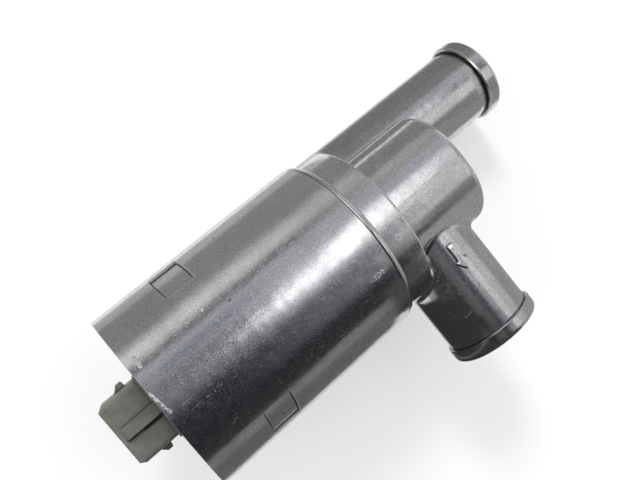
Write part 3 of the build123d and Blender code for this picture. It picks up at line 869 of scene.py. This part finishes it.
def place_camera():
    data = bpy.data.cameras.new("camera")
    data.sensor_fit = "HORIZONTAL"
    data.sensor_width = SENSOR_MM
    data.lens = SENSOR_MM * FOCAL_PX / IMAGE_WIDTH_PX
    data.clip_start = CLIP_START
    data.clip_end = CLIP_END
    camera = bpy.data.objects.new("camera", data)
    bpy.context.scene.collection.objects.link(camera)
    axes = Matrix((IMAGE_RIGHT, -Vector(IMAGE_DOWN), -Vector(FORWARD))).transposed()
    camera.matrix_world = Matrix.Translation(CAMERA_PLACE) @ axes.to_4x4()
    bpy.context.scene.camera = camera


def mix_onto(tree, share, first, second):
    """Puts a mix of two shaders on a material's surface."""
    node = add(tree, "MixShader")
    tree.links.new(share, node.inputs["Fac"])
    tree.links.new(first.outputs[0], node.inputs[1])
    tree.links.new(second.outputs[0], node.inputs[2])
    tree.links.new(node.outputs[0], add(tree, "OutputMaterial").inputs["Surface"])


def lay_floor():
    """White floor that partly glows, so that it stays pale and keeps a soft shadow."""
    bpy.ops.object.select_all(action="DESELECT")
    bpy.ops.mesh.primitive_plane_add(size=FLOOR_SIZE, location=(0, 0, FLOOR_Z * MM))
    floor = bpy.context.object
    floor.name = "floor"
    material, tree = new_material("floor_white")
    diffuse = add(tree, "BsdfDiffuse")
    diffuse.inputs["Color"].default_value = FLOOR_COLOR
    glow = add(tree, "Emission")
    path = add(tree, "LightPath")
    seen = most(tree, *(path.outputs["Is %s Ray" % kind] for kind in ("Camera", "Glossy", "Transmission")))
    mix_onto(tree, times(tree, seen, FLOOR_GLOW), diffuse, glow)
    floor.data.materials.append(material)


def stand_card(name, start, end, low, high, level):
    """Grey card beside the valve that shows only in reflections, and only from its own side."""
    bpy.ops.object.select_all(action="DESELECT")
    bpy.ops.mesh.primitive_plane_add(size=1.0)
    card = bpy.context.object
    card.name = name
    along = Vector((end[0] - start[0], end[1] - start[1], 0.0))
    up = Vector((0, 0, high - low))
    middle = Vector((start[0] + end[0], start[1] + end[1], low + high)) / 2
    axes = Matrix((along * MM, up * MM, along.cross(up).normalized())).transposed()
    card.matrix_world = Matrix.Translation(middle * MM) @ axes.to_4x4()
    material, tree = new_material(name)
    glow = add(tree, "Emission")
    glow.inputs["Color"].default_value = grey(level)
    clear = add(tree, "BsdfTransparent")
    facing = add(tree, "NewGeometry")
    mix_onto(tree, facing.outputs["Backfacing"], glow, clear)
    card.data.materials.append(material)
    card.visible_camera = False
    card.visible_diffuse = False
    card.visible_shadow = False


def hang_sun(name, direction, energy, spread):
    """Soft light from far away that leaves no highlight of its own."""
    data = bpy.data.lights.new(name, "SUN")
    data.energy = energy
    data.angle = math.radians(spread)
    lamp = bpy.data.objects.new(name, data)
    bpy.context.scene.collection.objects.link(lamp)
    way = Vector(direction).normalized()
    turn = way.to_track_quat("Z", "Y").to_matrix().to_4x4()
    lamp.matrix_world = Matrix.Translation(Vector(LAMP_CENTRE) + way * LAMP_DISTANCE) @ turn
    lamp.visible_glossy = False


def light_room():
    """Studio of soft panels. Each panel is placed by its angle round the can's axis, from
    straight up towards +Y in degrees, and by how far it leans along that axis."""
    world = bpy.data.worlds.new("room")
    bpy.context.scene.world = world
    world.use_nodes = True
    tree = world.node_tree
    tree.nodes.clear()
    out = add(tree, "OutputWorld")
    back = add(tree, "Background")
    coord = add(tree, "TexCoord")
    lean, y, z = axes_of(tree, coord.outputs["Generated"])
    turn = maths(tree, "DEGREES", maths(tree, "ARCTAN2", y, z))
    color = DARK_WALL
    for angles, leans, soft, panel in PANELS:
        mask = window(tree, turn, *angles, soft[0])
        mask = times(tree, mask, window(tree, lean, *leans, *soft[1:]))
        color = blend(tree, mask, color, panel)
    half = times(tree, less(tree, lean, KEY_TIP), KEY_SPREAD)
    drift = most(tree, less(tree, lean, KEY_DRIFT_FROM), 0.0)
    middle = plus(tree, times(tree, drift, KEY_DRIFT), KEY_TURN)
    off = maths(tree, "ABSOLUTE", less(tree, turn, middle))
    past = less(tree, off, maths(tree, "MINIMUM", half, KEY_HALF))
    key = ramp(tree, past, KEY_SOFT, -KEY_SOFT)
    key = times(tree, key, ramp(tree, lean, KEY_END + KEY_END_SOFT, KEY_END - KEY_END_SOFT))
    color = blend(tree, key, color, KEY_COLOR)
    wall = ramp(tree, z, WALL_TOP + WALL_SOFT, WALL_TOP - WALL_SOFT)
    color = blend(tree, wall, color, WALL_COLOR)
    tree.links.new(color, back.inputs["Color"])
    tree.links.new(back.outputs[0], out.inputs["Surface"])


finish_nodes()
flow_arrow()
punch_mark()
place_camera()
lay_floor()
for lamp in LAMPS:
    hang_sun(*lamp)
light_room()
for card in CARDS:
    stand_card(*card)
bpy.context.scene.view_settings.view_transform = "Standard"
